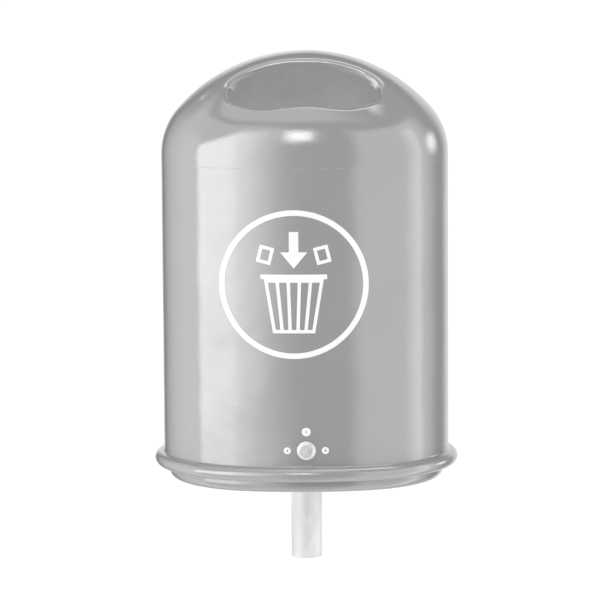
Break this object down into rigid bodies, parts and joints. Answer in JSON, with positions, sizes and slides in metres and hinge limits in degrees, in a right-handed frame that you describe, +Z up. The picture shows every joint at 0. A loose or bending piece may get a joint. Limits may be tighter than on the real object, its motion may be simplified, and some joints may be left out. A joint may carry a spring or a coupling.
{
  "type": "litter bin",
  "caption": "Oval sheet-steel litter bin with a domed hood, throw-in mouth, locked base flap for emptying and pipe clamps on a round post.",
  "frame": {"origin": "centre of the post's lower end", "axes": "+Z up along the post, -Y towards the front of the bin, +X to the right as seen from the front"},
  "size_m": [0.4576, 0.433, 0.8155],
  "materials": {
    "paint": "glossy light grey powder coat with a slight orange peel",
    "galvanised": "hot-dip galvanised, pale and satin",
    "stainless": "satin stainless steel",
    "zinc_plate": "bright zinc plating",
    "lock_metal": "nickel-plated die casting",
    "rivet": "bright aluminium",
    "cap_plastic": "fine matt grain",
    "film": "white self-adhesive film"
  },
  "bodies": {
    "bin": {"body_shell": "paint", "hood": "paint", "hood_weld": "paint", "foot_ring": "paint", "hinge_body_leaf": "paint", "hinge_pin": "stainless", "lock_plate": "galvanised", "lock_housing": "lock_metal", "lock_nut": "lock_metal", "lock_rivets": "rivet", "mounting_rail": "galvanised", "rail_bolts": "stainless", "rail_nuts": "stainless", "clamp_saddles": "galvanised", "clamp_straps": "galvanised", "clamp_bolts": "stainless", "clamp_nuts": "stainless", "saddle_screws": "stainless", "post": "galvanised", "post_cap": "cap_plastic", "pictogram_ring": "film", "pictogram_basket": "film"},
    "flap": {"base_flap": "paint", "hinge_flap_leaf": "paint", "hinge_rivets": "rivet", "flap_striker": "galvanised", "striker_rivets": "rivet"},
    "lock_plug": {"lock_core": "lock_metal", "lock_cam": "zinc_plate", "cam_washer": "zinc_plate", "cam_screw": "zinc_plate"}
  },
  "joints": [
    {"name": "flap_hinge", "type": "hinge", "parent": "bin", "child": "flap", "pos_m": [0, -0.045, 0.187], "axis": [1, 0, 0], "range_deg": [0, 85]},
    {"name": "lock_turn", "type": "hinge", "parent": "bin", "child": "lock_plug", "pos_m": [0, -0.391, 0.238], "axis": [0, 1, 0], "range_deg": [0, 90]}
  ]
}
